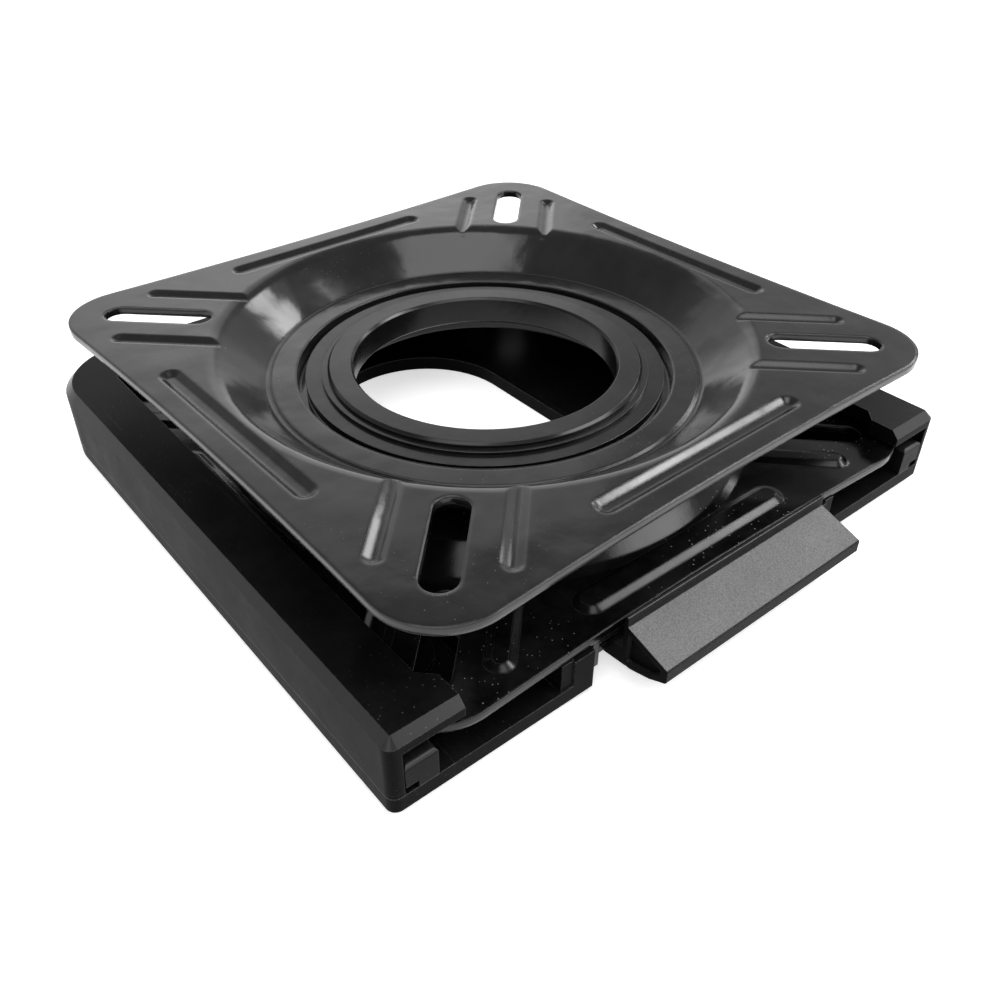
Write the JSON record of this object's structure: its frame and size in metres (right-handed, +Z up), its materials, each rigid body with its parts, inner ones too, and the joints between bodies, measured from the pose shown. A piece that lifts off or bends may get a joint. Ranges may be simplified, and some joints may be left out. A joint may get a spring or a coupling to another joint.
{
  "type": "swivel seat base",
  "caption": "Low seat base with a square pressed plate that turns on a ball race, a sliding lower plate in a moulded housing and a release lever at the front edge.",
  "frame": {"origin": "middle of the underside of the base, at the centre of the four base bolt holes", "axes": "+Z up, +X along the front edge to the right as seen from the lever, -Y towards the lever and the way the seat slides forward"},
  "size_m": [0.1908, 0.2016, 0.0444],
  "materials": {
    "housing_plastic": "fine-grained black moulding",
    "glide_plastic": "smooth black glide plastic",
    "lever_plastic": "coarse-grained dark grey moulding",
    "black_paint": "gloss black enamel on pressed steel",
    "zinc_steel": "bright zinc plate",
    "spring_steel": "oiled spring wire",
    "ball_steel": "polished balls",
    "nylon": "natural nylon",
    "buffer_rubber": "moulded rubber"
  },
  "bodies": {
    "base": {"base_tray": "housing_plastic", "base_housing": "housing_plastic", "glide_rail_left": "glide_plastic", "glide_rail_right": "glide_plastic", "upper_glide_left": "glide_plastic", "upper_glide_right": "glide_plastic", "lock_rack_left": "zinc_steel", "lock_rack_right": "zinc_steel", "rear_buffer_left": "buffer_rubber", "rear_buffer_right": "buffer_rubber", "tray_screws": "zinc_steel", "rack_screws": "zinc_steel"},
    "slider": {"lower_plate": "black_paint", "clamp_ring": "black_paint", "hub_washer": "black_paint", "hub_eyelet": "black_paint", "uplift_ring": "nylon", "bearing_balls": "ball_steel", "ball_cage": "nylon", "lever_bracket": "black_paint", "lever_pivot_pin": "zinc_steel", "return_spring": "spring_steel"},
    "lever": {"latch_arm": "black_paint", "lever_handle": "lever_plastic", "handle_screws": "zinc_steel"},
    "turntable": {"top_plate": "black_paint"}
  },
  "joints": [
    {"name": "seat_slide", "type": "slide", "parent": "base", "child": "slider", "axis": [0, -1, 0], "range_m": [0, 0.06]},
    {"name": "seat_swivel", "type": "hinge", "parent": "slider", "child": "turntable", "pos_m": [0, -0.0048, 0.03], "axis": [0, 0, 1], "continuous": true},
    {"name": "lever_lift", "type": "hinge", "parent": "slider", "child": "lever", "pos_m": [0, -0.05, 0.01], "axis": [1, 0, 0], "range_deg": [-5, 0], "stiffness_Nm_per_rad": 1.5, "springref_deg": 6.88, "deforming": ["return_spring"]}
  ]
}
